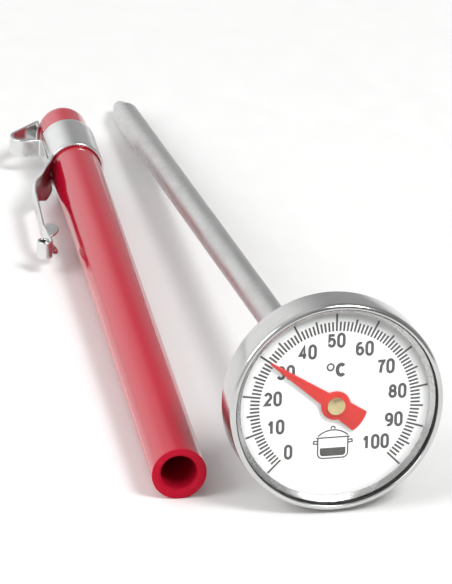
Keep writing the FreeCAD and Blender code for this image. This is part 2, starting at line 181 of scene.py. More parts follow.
def turned_lines():
    """Fine rings that a lathe or a polishing wheel leaves round the +Y axis."""
    tree, given, result = node_group(
        "turned_lines", "ShaderNodeTree",
        [("Place", "NodeSocketVector", None), ("Lines per mm", "NodeSocketFloat", 8.0),
         ("Depth", "NodeSocketFloat", 0.2)],
        [("Mask", "NodeSocketFloat"), ("Normal", "NodeSocketVector")])
    split = node(tree, "ShaderNodeSeparateXYZ", {0: given["Place"]}).outputs
    flat = node(tree, "ShaderNodeCombineXYZ", {0: split[0], 2: split[2]}).outputs[0]
    radius = node(tree, "ShaderNodeVectorMath", {0: flat}, operation="LENGTH").outputs["Value"]
    round_axis = node(tree, "ShaderNodeVectorMath", {0: flat}, operation="NORMALIZE").outputs[0]
    across = node(tree, "ShaderNodeMath", {0: radius, 1: split[1]}, operation="ADD").outputs[0]
    dense = node(tree, "ShaderNodeMath", {0: across, 1: given["Lines per mm"]},
                 operation="MULTIPLY").outputs[0]
    lifted = node(tree, "ShaderNodeCombineXYZ", {1: dense}).outputs[0]
    place = node(tree, "ShaderNodeVectorMath", {0: round_axis, 1: lifted}, operation="ADD").outputs[0]
    rings = node(tree, "ShaderNodeTexNoise", {"Vector": place, "Scale": 1.0, "Detail": 3.0}).outputs[0]
    bump = node(tree, "ShaderNodeBump", {"Height": rings, "Strength": given["Depth"], "Distance": 2e-5})
    tree.links.new(rings, result["Mask"])
    tree.links.new(bump.outputs[0], result["Normal"])
    return tree


def handling_marks():
    """Broad faint smears and small scuffs, as hands and storage leave them: 0 clean, 1 marked."""
    tree, given, result = node_group(
        "handling_marks", "ShaderNodeTree",
        [("Place", "NodeSocketVector", None), ("Smear size mm", "NodeSocketFloat", 6.0),
         ("Scuffs", "NodeSocketFloat", 0.3)],
        [("Mask", "NodeSocketFloat")])
    scale = node(tree, "ShaderNodeMath", {0: 1.0, 1: given["Smear size mm"]}, operation="DIVIDE").outputs[0]
    smear = node(tree, "ShaderNodeTexNoise", {"Vector": given["Place"], "Scale": scale, "Detail": 4.0,
                                              "Distortion": 0.6}).outputs[0]
    soft = node(tree, "ShaderNodeMapRange", {0: smear, 1: 0.42, 2: 0.72}).outputs[0]
    fine = node(tree, "ShaderNodeTexNoise", {"Vector": given["Place"], "Scale": 2.3, "Detail": 6.0,
                                             "Roughness": 0.75}).outputs[0]
    specks = node(tree, "ShaderNodeMapRange", {0: fine, 1: 0.62, 2: 0.75}).outputs[0]
    scuffs = node(tree, "ShaderNodeMath", {0: specks, 1: given["Scuffs"]}, operation="MULTIPLY").outputs[0]
    both = node(tree, "ShaderNodeMath", {0: soft, 1: scuffs}, operation="ADD", use_clamp=True).outputs[0]
    tree.links.new(both, result["Mask"])
    return tree


def edge_wear():
    """Where an outside edge is rubbed: 1 on the edge, broken up by fine noise."""
    tree, given, result = node_group(
        "edge_wear", "ShaderNodeTree",
        [("Place", "NodeSocketVector", None), ("Amount", "NodeSocketFloat", 0.5)],
        [("Mask", "NodeSocketFloat")])
    point = node(tree, "ShaderNodeNewGeometry").outputs["Pointiness"]
    edge = node(tree, "ShaderNodeMapRange", {0: point, 1: 0.515, 2: 0.60}).outputs[0]
    noise = node(tree, "ShaderNodeTexNoise", {"Vector": given["Place"], "Scale": 1.4,
                                              "Detail": 5.0}).outputs[0]
    broken = node(tree, "ShaderNodeMapRange", {0: noise, 1: 0.35, 2: 0.65}).outputs[0]
    rubbed = node(tree, "ShaderNodeMath", {0: edge, 1: broken}, operation="MULTIPLY").outputs[0]
    amount = node(tree, "ShaderNodeMath", {0: rubbed, 1: given["Amount"]}, operation="MULTIPLY").outputs[0]
    tree.links.new(amount, result["Mask"])
    return tree


TURNED_LINES = turned_lines()
HANDLING_MARKS = handling_marks()
EDGE_WEAR = edge_wear()


def blank_material(name, place):
    """New material with its Principled shader and the piece's own coordinates in millimetres."""
    made = bpy.data.materials.new(name)
    made.use_nodes = True
    tree = made.node_tree
    tree.nodes.clear()
    shader = tree.nodes.new("ShaderNodeBsdfPrincipled")
    out = tree.nodes.new("ShaderNodeOutputMaterial")
    tree.links.new(shader.outputs[0], out.inputs["Surface"])
    here = node(tree, "ShaderNodeTexCoord").outputs["Object"]
    mapped = node(tree, "ShaderNodeMapping", {"Vector": here, "Location": place.to_translation(),
                                              "Rotation": place.to_euler(),
                                              "Scale": place.to_scale()}, vector_type="TEXTURE")
    return made, tree, shader, mapped.outputs[0]


def placed(tree, group, feeds):
    return node(tree, "ShaderNodeGroup", feeds, node_tree=group).outputs


def mixed(tree, share, low, high):
    """Colour or value between low and high by share."""
    if isinstance(low, (float, int)):
        return node(tree, "ShaderNodeMapRange", {0: share, 3: low, 4: high}).outputs[0]
    made = node(tree, "ShaderNodeMix", data_type="RGBA")
    tree.links.new(share, made.inputs["Factor"])
    for socket, value in ((6, low), (7, high)):
        if isinstance(value, bpy.types.NodeSocket):
            tree.links.new(value, made.inputs[socket])
        else:
            made.inputs[socket].default_value = (*value, 1.0)
    return made.outputs[2]


def shade(colour, share):
    return tuple(channel * share for channel in colour)


def metal(name, place, colour, roughness, lines=8.0, depth=0.15, smear=6.0, wear=0.4):
    """Bare or plated metal with fine rings, faint smears and bright rubbed edges."""
    made, tree, shader, here = blank_material(name, place)
    rings = placed(tree, TURNED_LINES, {"Place": here, "Lines per mm": lines, "Depth": depth})
    marks = placed(tree, HANDLING_MARKS, {"Place": here, "Smear size mm": smear})
    rubbed = placed(tree, EDGE_WEAR, {"Place": here, "Amount": wear})
    dulled = mixed(tree, marks["Mask"], colour, shade(colour, 0.86))
    ringed = mixed(tree, rings["Mask"], shade(colour, 0.82), shade(colour, 1.12))
    base = node(tree, "ShaderNodeMix", {"Factor": 0.45}, data_type="RGBA")
    tree.links.new(dulled, base.inputs[6])
    tree.links.new(ringed, base.inputs[7])
    bright = mixed(tree, rubbed["Mask"], base.outputs[2], shade(colour, 1.25))
    tree.links.new(bright, shader.inputs["Base Color"])
    fine = mixed(tree, rings["Mask"], roughness * 0.75, roughness * 1.25)
    extra = mixed(tree, marks["Mask"], 0.0, roughness * 0.45)
    total = node(tree, "ShaderNodeMath", {0: fine, 1: extra}, operation="ADD", use_clamp=True).outputs[0]
    tree.links.new(total, shader.inputs["Roughness"])
    tree.links.new(rings["Normal"], shader.inputs["Normal"])
    shader.inputs["Metallic"].default_value = 1.0
    return made


def finished(made, material, body, slot, *nodes):
    """Gives a piece its material and its body, and hides the CAD nodes it stands for; slot is not used."""
    made.data.materials.clear()
    made.data.materials.append(material)
    if body:
        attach(made, body)
    if nodes:
        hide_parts(*nodes)
    return made


stem_steel = metal("stem_steel", THERMOMETER, SATIN_STEEL, 0.42, lines=5.0, depth=0.25, smear=9.0)
wall = STEM_R - STEM_BORE_R
stem_section = eased([(STEM_BORE_R, STEM_TOP), (STEM_R, STEM_TOP, 0.08), (STEM_R, GROOVE_START, 0.06),
                      (GROOVE_R, GROOVE_START, 0.08), (GROOVE_R, GROOVE_END, 0.08),
                      (STEM_R, GROOVE_END, 0.06), (STEM_R, TAPER_START), (STEM_BORE_R, TAPER_START),
                      (STEM_BORE_R, GROOVE_END + wall, 0.1), (GROOVE_R - wall, GROOVE_END, 0.1),
                      (GROOVE_R - wall, GROOVE_START, 0.1), (STEM_BORE_R, GROOVE_START - wall, 0.1)])
finished(turned("stem_tube_drawn", stem_section, THERMOMETER, 96),
         stem_steel, "stem", "stem_steel", "stem_tube")

tip_section = [(0, TAPER_START - TIP_SPIGOT), (STEM_BORE_R - PRESS_GAP, TAPER_START - TIP_SPIGOT),
               (STEM_BORE_R - PRESS_GAP, TAPER_START), (STEM_R, TAPER_START)]
tip_section += arc((0, TIP_END - NOSE_R), NOSE_R, CONE_ANGLE, 90)
tip_section[-1] = (0, TIP_END)
finished(turned("stem_tip_turned", tip_section, THERMOMETER, 96, 50),
         stem_steel, "stem", "stem_steel", "stem_tip")


# ---------------------------------------------------------------------------------------------
# Neck: a hex nut for the spanner that holds the stem during calibration, and behind it a collar
# with the shoulder and spigot that hold the sheath. Both are turned steel, pressed on the stem.
CASE_BACK = 5.3
BACK_PLAY = 0.05
NUT_FLATS = 9.0
NUT_LENGTH = 8.0
NUT_CHAMFER = 0.5
COLLAR_R = 3.0
COLLAR_END = 18.7
SPIGOT_R = 2.4
SPIGOT_END = 24.0
SPIGOT_LEAD = 0.5
NECK_STEEL = (0.48, 0.48, 0.475)


def applied(made, kind, **settings):
    """Adds a modifier, turns its result into the plain mesh and takes the modifier off."""
    modifier = made.modifiers.new(kind.lower(), kind)
    for key, value in settings.items():
        setattr(modifier, key, value)
    depsgraph = bpy.context.evaluated_depsgraph_get()
    mesh = bpy.data.meshes.new_from_object(made.evaluated_get(depsgraph))
    made.modifiers.clear()
    mesh.name = made.data.name
    made.data = mesh
    return made


def merged(first, *others, sharp=35):
    """Union of overlapping closed pieces as one closed mesh."""
    for other in others:
        applied(first, "BOOLEAN", operation="UNION", object=other, solver="EXACT")
        bpy.data.objects.remove(other)
    first.data.shade_smooth()
    first.data.set_sharp_from_angle(angle=math.radians(sharp))
    return first


def softened(made, width, segments=2, sharp=35):
    """Rounds the sharp edges of a piece by a small even radius."""
    applied(made, "BEVEL", width=width / 1000, segments=segments, limit_method="ANGLE",
            angle_limit=math.radians(sharp), harden_normals=False, use_clamp_overlap=True)
    made.data.shade_smooth()
    made.data.set_sharp_from_angle(angle=math.radians(sharp))
    return made


def hex_nut():
    start = CASE_BACK + BACK_PLAY
    end = start + NUT_LENGTH
    across = NUT_FLATS / math.sqrt(3)
    ring = [(across * math.cos(math.radians(60 * i)), across * math.sin(math.radians(60 * i)))
            for i in range(6)]
    points = [(x, start, z) for x, z in ring] + [(x, end, z) for x, z in ring]
    faces = [[i, (i + 1) % 6, 6 + (i + 1) % 6, 6 + i] for i in range(6)]
    faces += [list(range(6)), list(range(6, 12))]
    prism = piece("hex_nut_turned", points, faces, THERMOMETER)
    cone = turned("nut_cone", [(STEM_R, start), (across - NUT_CHAMFER, start), (across, start + NUT_CHAMFER),
                               (across, end - NUT_CHAMFER), (across - NUT_CHAMFER, end), (STEM_R, end)],
                  THERMOMETER, 96)
    applied(prism, "BOOLEAN", operation="INTERSECT", object=cone, solver="EXACT")
    bpy.data.objects.remove(cone)
    return softened(prism, 0.08)


neck_steel = metal("neck_steel", THERMOMETER, NECK_STEEL, 0.24, lines=7.0, depth=0.25, smear=4.0, wear=0.7)
finished(hex_nut(), neck_steel, "stem", "neck_steel", "hex_nut")

collar_start = CASE_BACK + BACK_PLAY + NUT_LENGTH
collar_section = eased([(STEM_R, collar_start), (COLLAR_R, collar_start, 0.2), (COLLAR_R, COLLAR_END, 0.15),
                        (SPIGOT_R, COLLAR_END, 0.05), (SPIGOT_R, SPIGOT_END - SPIGOT_LEAD, 0.1),
                        (STEM_R + 0.1, SPIGOT_END), (STEM_R, SPIGOT_END)])
finished(turned("neck_collar_turned", collar_section, THERMOMETER),
         neck_steel, "stem", "neck_steel", "neck_collar")


# ---------------------------------------------------------------------------------------------
# Case: a cup deep-drawn from 0.4 mm stainless sheet. Its step takes the bezel's turned-in edge,
# and its back turns on the flanged bush behind the dial when the thermometer is set.
SHEET = 0.4
CASE_R = 14.1
CASE_NECKED_R = 13.55
CASE_EDGE_R = 1.0
CASE_HOLE_R = 2.6
DIAL_THICK = 0.4
BEZEL_REAR = 4.0
CASE_STEEL = (0.52, 0.52, 0.515)

step = BEZEL_REAR - SHEET
case_section = eased([(CASE_R - SHEET, DIAL_THICK), (CASE_R, DIAL_THICK), (CASE_R, step, 0.15),
                      (CASE_NECKED_R, step, 0.1), (CASE_NECKED_R, CASE_BACK, CASE_EDGE_R),
                      (CASE_HOLE_R, CASE_BACK, 0.1), (CASE_HOLE_R, CASE_BACK - SHEET),
                      (CASE_NECKED_R - SHEET, CASE_BACK - SHEET, CASE_EDGE_R - SHEET),
                      (CASE_NECKED_R - SHEET, step - SHEET), (CASE_R - SHEET, step - SHEET)], steps=8)
case_steel = metal("case_steel", THERMOMETER, CASE_STEEL, 0.28, lines=4.0, depth=0.2, smear=8.0)
finished(turned("case_cup_drawn", case_section, THERMOMETER, 192),
         case_steel, "head", "case_steel", "case_cup")


# ---------------------------------------------------------------------------------------------
# Dial: a stamped disc of sheet, lacquered white and printed in dark grey ink with a scale of
# 100 degrees over 270 degrees of arc, its numerals, the unit and a small cooking pot.
STACK_R = 13.95
DIAL_HOLE_R = 0.9
PRINT_THICK = 0.012
SCALE_START = -135.0
SCALE_STEP = 2.7
TICK_INNER = 10.28
TICK_TENS = 12.75
TICK_FIVES = 12.05
TICK_ONES = 11.58
TICK_WIDTH = 0.27
NUMERAL_HEIGHT = 1.95
NUMERAL_WIDTH = 1.45
NUMERAL_PITCH = 1.30
UNIT_PITCH = 1.45
UNIT_HEIGHT = 4.85
NUMERAL_LINE = 0.39
NUMERAL_EDGE = 9.95
DEGREE_LINE = 0.25
UNIT_LINE = 0.5
SHARPEST_MITRE = 0.45
DIAL_WHITE = (0.88, 0.88, 0.875)
INK = (0.075, 0.073, 0.07)


def scale_ticks():
    """Geometry Nodes tree: one thin printed bar for each degree, longer on fives and tens."""
    tree, given, result = node_group(
        "scale_ticks", "GeometryNodeTree",
        [("Ticks", "NodeSocketInt", 101), ("Start", "NodeSocketFloat", 0.0), ("Step", "NodeSocketFloat", 0.0),
         ("Inner radius", "NodeSocketFloat", 1.0), ("Ones radius", "NodeSocketFloat", 1.0),
         ("Fives radius", "NodeSocketFloat", 1.0), ("Tens radius", "NodeSocketFloat", 1.0),
         ("Width", "NodeSocketFloat", 0.1), ("Thickness", "NodeSocketFloat", 0.01),
         ("Ink", "NodeSocketMaterial", None)],
        [("Geometry", "NodeSocketGeometry")])
    index = node(tree, "GeometryNodeInputIndex").outputs[0]

    def every(count):
        rest = node(tree, "ShaderNodeMath", {0: index, 1: float(count)}, operation="MODULO").outputs[0]
        return node(tree, "FunctionNodeCompare", {0: rest, 1: 0.5}, operation="LESS_THAN").outputs[0]

    def choose(test, no, yes):
        return node(tree, "GeometryNodeSwitch", {0: test, 1: no, 2: yes}, input_type="FLOAT").outputs[0]

    def maths(kind, a, b):
        return node(tree, "ShaderNodeMath", {0: a, 1: b}, operation=kind).outputs[0]

    short = choose(every(5), given["Ones radius"], given["Fives radius"])
    outer = choose(every(10), short, given["Tens radius"])
    length = maths("SUBTRACT", outer, given["Inner radius"])
    middle = maths("MULTIPLY", maths("ADD", outer, given["Inner radius"]), 0.5)
    angle = maths("ADD", given["Start"], maths("MULTIPLY", given["Step"], index))
    x = maths("MULTIPLY", middle, node(tree, "ShaderNodeMath", {0: angle}, operation="SINE").outputs[0])
    z = maths("MULTIPLY", middle, node(tree, "ShaderNodeMath", {0: angle}, operation="COSINE").outputs[0])
    spot = node(tree, "ShaderNodeCombineXYZ", {0: x, 1: maths("MULTIPLY", given["Thickness"], -0.5), 2: z})
    points = node(tree, "GeometryNodePoints",
                  {"Count": given["Ticks"], "Position": spot.outputs[0]}).outputs[0]
    bar_size = node(tree, "ShaderNodeCombineXYZ",
                    {0: given["Width"], 1: given["Thickness"], 2: 1.0}).outputs[0]
    bar = node(tree, "GeometryNodeMeshCube", {"Size": bar_size}).outputs[0]
    turn = node(tree, "ShaderNodeCombineXYZ", {1: angle}).outputs[0]
    stretch = node(tree, "ShaderNodeCombineXYZ", {0: 1.0, 1: 1.0, 2: length}).outputs[0]
    bars = node(tree, "GeometryNodeInstanceOnPoints", {"Points": points, "Instance": bar, "Rotation": turn,
                                                       "Scale": stretch}).outputs[0]
    solid = node(tree, "GeometryNodeRealizeInstances", {0: bars}).outputs[0]
    inked = node(tree, "GeometryNodeSetMaterial", {"Geometry": solid, "Material": given["Ink"]}).outputs[0]
    tree.links.new(inked, result["Geometry"])
    return tree


def grown(name, tree, values, place):
    """Object made by a Geometry Nodes tree with named inputs, as a plain mesh in its place."""
    made = bpy.data.objects.new(name, bpy.data.meshes.new(name))
    bpy.context.scene.collection.objects.link(made)
    modifier = made.modifiers.new("nodes", "NODES")
    modifier.node_group = tree
    sockets = {s.name: s.identifier for s in tree.interface.items_tree
               if s.item_type == "SOCKET" and s.in_out == "INPUT"}
    for key, value in values.items():
        modifier[sockets[key]] = value
    depsgraph = bpy.context.evaluated_depsgraph_get()
    mesh = bpy.data.meshes.new_from_object(made.evaluated_get(depsgraph))
    made.modifiers.clear()
    made.data = mesh
    mesh.transform(place)
    return made


def coating(name, place, colour, roughness, mottle=0.94, smear=5.0, grain=1.2, depth=0.05, coat=0.0):
    """Lacquer, ink, rubber or moulded plastic: slight mottle, soft grain and faint smears."""
    made, tree, shader, here = blank_material(name, place)
    marks = placed(tree, HANDLING_MARKS, {"Place": here, "Smear size mm": smear, "Scuffs": 0.2})
    rubbed = placed(tree, EDGE_WEAR, {"Place": here, "Amount": 0.3})
    clouds = node(tree, "ShaderNodeTexNoise", {"Vector": here, "Scale": grain, "Detail": 5.0}).outputs[0]
    base = mixed(tree, clouds, colour, shade(colour, mottle))
    worn = mixed(tree, rubbed["Mask"], base, tuple(min(1.0, c * 1.1 + 0.02) for c in colour))
    tree.links.new(worn, shader.inputs["Base Color"])
    dulled = mixed(tree, marks["Mask"], roughness, min(1.0, roughness * 1.5))
    tree.links.new(dulled, shader.inputs["Roughness"])
    bump = node(tree, "ShaderNodeBump", {"Height": clouds, "Strength": depth, "Distance": 5e-5})
    tree.links.new(bump.outputs[0], shader.inputs["Normal"])
    shader.inputs["Coat Weight"].default_value = coat
    shader.inputs["Coat Roughness"].default_value = 0.05
    return made


def printed_line(route, width, closed=False):
    """Thin inked line along a route on the face, as (points, faces)."""
    points, faces = [], []
    route = [Vector(p) for p in route]
    count = len(route)
    for i, at in enumerate(route):
        before = route[i - 1] if closed or i else at * 2 - route[1]
        after = route[(i + 1) % count] if closed or i < count - 1 else at * 2 - route[i - 1]
        here, there = (at - before).orthogonal().normalized(), (after - at).orthogonal().normalized()
        side = (here + there).normalized()
        side *= width / 2 / max(side.dot(here), SHARPEST_MITRE)
        near, far = at + side, at - side
        points += [(near.x, 0, near.y), (far.x, 0, far.y),
                   (far.x, -PRINT_THICK, far.y), (near.x, -PRINT_THICK, near.y)]
    spans = range(count if closed else count - 1)
    for i in spans:
        a, b = 4 * i, 4 * ((i + 1) % count)
        faces += [[a + k, a + (k + 1) % 4, b + (k + 1) % 4, b + k] for k in range(4)]
    if not closed:
        faces += [[0, 1, 2, 3], [4 * count - 4 + k for k in range(4)]]
    return points, faces


def gathered(parts):
    """Several (points, faces) shapes as one."""
    points, faces = [], []
    for new_points, new_faces in parts:
        faces += [[len(points) + c for c in face] for face in new_faces]
        points += new_points
    return points, faces


def bow(cx, cz, rx, rz, first, last, steps=14):
    """Arc of an ellipse as points, degrees counted from the right, anticlockwise."""
    turns = [math.radians(first + (last - first) * i / steps) for i in range(steps + 1)]
    return [(cx + rx * math.cos(a), cz + rz * math.sin(a)) for a in turns]


def oval(cx, cz, rx, rz):
    return bow(cx, cz, rx, rz, 0, 360, 28)[:-1], True


SIGNS = {
    "0": [(bow(0, 0.22, 0.27, 0.28, 0, 180) + bow(0, -0.22, 0.27, 0.28, 180, 360), True)],
    "1": [([(0.08, -0.5), (0.08, 0.5)], False), ([(-0.2, 0.2), (-0.05, 0.28), (0.06, 0.46)], False)],
    "2": [(bow(0, 0.2, 0.26, 0.25, 165, -30) + [(0.0, -0.14), (-0.25, -0.43), (0.3, -0.43)], False)],
    "3": [(bow(0, 0.215, 0.24, 0.235, 160, -85), False), (bow(0, -0.2, 0.27, 0.25, 90, -165), False)],
    "4": [([(0.12, -0.5), (0.12, 0.46), (-0.28, -0.22), (0.32, -0.22)], False)],
    "5": [([(0.26, 0.43), (-0.19, 0.43), (-0.24, -0.02)] + bow(0, -0.15, 0.27, 0.29, 130, -160), False)],
    "6": [oval(0, -0.17, 0.27, 0.27), (bow(0.02, 0.1, 0.29, 0.35, 60, 180) + [(-0.27, -0.15)], False)],
    "7": [([(-0.28, 0.43), (0.27, 0.43), (0.05, 0.05), (-0.04, -0.5)], False)],
    "8": [oval(0, 0.22, 0.23, 0.22), oval(0, -0.2, 0.27, 0.24)],
    "9": [oval(0, 0.17, 0.27, 0.27), (bow(-0.02, -0.1, 0.29, 0.35, 240, 360) + [(0.27, 0.15)], False)],
    "C": [(bow(0, 0, 0.36, 0.44, 45, 315, 22), False)],
    "°": [oval(0, 0.24, 0.3, 0.25)],
}


def printed_word(word, centre, height, width, pitch, line):
    """Numerals or letters drawn with strokes of even width, centred on a point of the face."""
    strokes = []
    first = -(len(word) - 1) / 2
    for place, sign in enumerate(word):
        middle = centre[0] + (first + place) * pitch
        for route, closed in SIGNS[sign]:
            route = [(middle + x * width, centre[1] + z * (height - line * 0.5)) for x, z in route]
            strokes.append(printed_line(route, line, closed))
    return gathered(strokes)


def plate(outline, back, front):
    """Flat plate in the plane of the dial, from its outline and its two depths."""
    count = len(outline)
    points = [(x, back, z) for x, z in outline] + [(x, front, z) for x, z in outline]
    faces = [list(range(count)), list(range(count, 2 * count))]
    faces += [[i, (i + 1) % count, count + (i + 1) % count, count + i] for i in range(count)]
    return points, faces


POT_X = -0.2
POT_RIM = -4.6
POT_FLOOR = -7.5
POT_HALF = 2.05
POT_CORNER = 0.7
POT_LINE = 0.2
SOUP_GAP = 0.3
SOUP_CORNER = 0.45


def cooking_pot():
    """A plain pot of the printer's own design: body, lid with a knob, two handles, soup level."""
    left, right = POT_X - POT_HALF, POT_X + POT_HALF
    level = (POT_RIM + POT_FLOOR) / 2
    bottom = POT_FLOOR + SOUP_GAP
    body = eased([(left, POT_RIM), (left, POT_FLOOR, POT_CORNER), (right, POT_FLOOR, POT_CORNER),
                  (right, POT_RIM)], closed=False)
    soup = eased([(left + SOUP_GAP, level), (left + SOUP_GAP, bottom, SOUP_CORNER),
                  (right - SOUP_GAP, bottom, SOUP_CORNER), (right - SOUP_GAP, level)])
    lid = arc((POT_X, POT_RIM - 1.9), 2.95, 46, 134, 16)
    knob = arc((POT_X, POT_RIM + 1.28), 0.26, -20, 200, 10)
    rim = [(left - 0.25, POT_RIM), (right + 0.25, POT_RIM)]
    lines = [(body, False), (rim, False), (lid, False), (knob, False)]
    for side in (-1, 1):
        root = POT_X + side * POT_HALF
        lines.append(([(root, POT_RIM - 0.45), (root + side * 0.55, POT_RIM - 0.4),
                       (root + side * 0.6, POT_RIM - 0.75), (root, POT_RIM - 0.85)], False))
    strokes = [printed_line(route, POT_LINE, closed) for route, closed in lines]
    return piece("dial_print_pot", *gathered(strokes + [plate(soup, 0, -PRINT_THICK)]), THERMOMETER)


def dial_numerals():
    """Upright numerals whose outer corners touch one circle, and the unit below the 50."""
    words = [("°", (-UNIT_PITCH / 2, UNIT_HEIGHT), DEGREE_LINE),
             ("C", (UNIT_PITCH / 2, UNIT_HEIGHT), UNIT_LINE)]
    for value in range(0, 101, 10):
        angle = math.radians(SCALE_START + SCALE_STEP * value)
        wide = (len(str(value)) - 1) * NUMERAL_PITCH + NUMERAL_WIDTH * 0.8
        reach = abs(math.sin(angle)) * wide / 2 + abs(math.cos(angle)) * NUMERAL_HEIGHT / 2
        radius = NUMERAL_EDGE - reach
        words.append((str(value), (radius * math.sin(angle), radius * math.cos(angle)), NUMERAL_LINE))
    printed = [printed_word(word, centre, NUMERAL_HEIGHT, NUMERAL_WIDTH, NUMERAL_PITCH, line)
               for word, centre, line in words]
    return piece("dial_print_numerals", *gathered(printed), THERMOMETER)


# Painted shade near the dial's rim: where it starts and ends, how grey it goes and how far it leans to the
# upper right.
RIM_SHADE_FROM = 11.3
RIM_SHADE_TO = 13.2
RIM_PAINTED_SHADE_GREY = 0.62
RIM_SHADE_SHIFT = 0.45


def shade_in_dial(material):
    """Painted shade: the dial's white is made greyer under the ring and near it, most of all at the upper
    right.
    """
    tree = material.node_tree
    shader = tree.nodes["Principled BSDF"]
    clean = shader.inputs["Base Color"].links[0].from_socket
    mapped = next(n for n in tree.nodes if n.type == "MAPPING").outputs[0]
    off_centre = node(tree, "ShaderNodeVectorMath", {0: mapped, 1: (RIM_SHADE_SHIFT, 0.0, RIM_SHADE_SHIFT)},
                      operation="ADD").outputs[0]
    split = node(tree, "ShaderNodeSeparateXYZ", {0: off_centre}).outputs
    flat = node(tree, "ShaderNodeCombineXYZ", {0: split[0], 2: split[2]}).outputs[0]
    radius = node(tree, "ShaderNodeVectorMath", {0: flat}, operation="LENGTH").outputs["Value"]
    rim = node(tree, "ShaderNodeMapRange", {0: radius, 1: RIM_SHADE_FROM, 2: RIM_SHADE_TO},
               interpolation_type="SMOOTHSTEP").outputs[0]
    # Painted shade, multiplied into the white towards the rim.
    painted_shade = node(tree, "ShaderNodeMix", data_type="RGBA", blend_type="MULTIPLY")
    tree.links.new(rim, painted_shade.inputs["Factor"])
    tree.links.new(clean, painted_shade.inputs[6])
    painted_shade.inputs[7].default_value = (RIM_PAINTED_SHADE_GREY, RIM_PAINTED_SHADE_GREY, RIM_PAINTED_SHADE_GREY, 1.0)
    tree.links.new(painted_shade.outputs[2], shader.inputs["Base Color"])


dial_white = coating("dial_white", THERMOMETER, DIAL_WHITE, 0.38, mottle=0.985, grain=0.5, depth=0.03,
                     coat=0.2)
# Painted shade on the dial's white near its rim.
shade_in_dial(dial_white)
dial_ink = coating("dial_ink", THERMOMETER, INK, 0.5, mottle=0.8, grain=3.0)
dial_section = eased([(DIAL_HOLE_R, 0, 0.04), (STACK_R, 0, 0.04), (STACK_R, DIAL_THICK),
                      (DIAL_HOLE_R, DIAL_THICK)])
finished(turned("dial_disc_stamped", dial_section, THERMOMETER, 192),
         dial_white, "head", "dial_white", "dial_plate")
ticks = grown("dial_print_scale", scale_ticks(),
              {"Start": math.radians(SCALE_START), "Step": math.radians(SCALE_STEP), "Ticks": 101,
               "Inner radius": TICK_INNER, "Ones radius": TICK_ONES, "Fives radius": TICK_FIVES,
               "Tens radius": TICK_TENS, "Width": TICK_WIDTH, "Thickness": PRINT_THICK, "Ink": dial_ink},
              THERMOMETER)
finished(ticks, dial_ink, "head", "dial_white")
finished(dial_numerals(), dial_ink, "head", "dial_white")
finished(cooking_pot(), dial_ink, "head", "dial_white")


# ---------------------------------------------------------------------------------------------
# Inner ring: turned aluminium, bevelled towards the dial. It holds the dial down and spaces the
# window from it.
SPACER_R = 12.85
SPACER_TOP_R = 13.55
SPACER_FRONT = -0.55
ALUMINIUM = (0.58, 0.58, 0.575)

ring_section = eased([(SPACER_R, 0), (SPACER_R, -0.12, 0.05), (SPACER_TOP_R, SPACER_FRONT, 0.08),
                      (STACK_R, SPACER_FRONT), (STACK_R, 0)])
ring_metal = metal("ring_metal", THERMOMETER, ALUMINIUM, 0.22, lines=9.0, depth=0.3, smear=3.0)
finished(turned("inner_ring_turned", ring_section, THERMOMETER, 192), ring_metal, "head", "inner_ring",
         "spacer_ring")


# ---------------------------------------------------------------------------------------------
# Window: a clear moulded disc, slightly domed, with a flat rim clamped under the bezel on a thin
# black gasket that shows as a dark line inside the bezel's lip.
LENS_EDGE = 0.5
LENS_RISE = 0.7
LENS_FLAT_R = 13.3
CLEAR = (0.985, 0.99, 0.988)
BLACK_RUBBER = (0.02, 0.02, 0.02)


def dome(radius, rim, rise, steps=20):
    """Points of a shallow spherical dome from its rim to the axis, bulging towards the viewer."""
    sphere = (radius ** 2 + rise ** 2) / (2 * rise)
    spread = math.degrees(math.asin(radius / sphere))
    points = arc((0, rim - rise + sphere), sphere, spread - 90, -90, steps)
    points[-1] = (0, rim - rise)
    return points


def clear_window():
    """Glass that lets lamps through to the dial behind it."""
    made, tree, shader, here = blank_material("window_clear", THERMOMETER)
    marks = placed(tree, HANDLING_MARKS, {"Place": here, "Smear size mm": 7.0, "Scuffs": 0.1})
    tree.links.new(mixed(tree, marks["Mask"], 0.0, 0.04), shader.inputs["Roughness"])
    shader.inputs["Base Color"].default_value = (*CLEAR, 1.0)
    shader.inputs["Transmission Weight"].default_value = 1.0
    shader.inputs["IOR"].default_value = 1.2
    through = node(tree, "ShaderNodeBsdfTransparent")
    lamp = node(tree, "ShaderNodeLightPath").outputs["Is Shadow Ray"]
    choice = node(tree, "ShaderNodeMixShader", {0: lamp, 1: shader.outputs[0], 2: through.outputs[0]})
    out = next(n for n in tree.nodes if n.type == "OUTPUT_MATERIAL")
    tree.links.new(choice.outputs[0], out.inputs["Surface"])
    return made


rim_front = SPACER_FRONT - LENS_EDGE
lens_section = [(STACK_R, SPACER_FRONT), (STACK_R, rim_front)]
lens_section += dome(LENS_FLAT_R, rim_front, LENS_RISE)
lens_section += list(reversed(dome(LENS_FLAT_R, SPACER_FRONT, LENS_RISE)))
finished(turned("window_domed", lens_section, THERMOMETER, 160), clear_window(), "head", "window", "lens")


def given_finish(name, material):
    """Gives a CAD node that is shown as it is its proper material."""
    shown = frame["nodes"][name].data.materials
    shown.clear()
    shown.append(material)


given_finish("lens_gasket", coating("gasket_rubber", THERMOMETER, BLACK_RUBBER, 0.6, mottle=0.7, grain=4.0,
                                    depth=0.2))


# ---------------------------------------------------------------------------------------------
# Bezel: a ring of polished stainless sheet. Its front edge is rolled inwards over the window and
# its rear edge is turned in behind the step of the case, so it can't be opened.
HEAD_R = 14.5
BEZEL_FRONT = -1.55
BEZEL_EDGE_R = 0.6
BEZEL_REAR_EDGE_R = 0.4
LIP_R = 13.75
TURN_IN_GAP = 0.05
GASKET = 0.15
BEZEL_STEEL = (0.62, 0.62, 0.615)

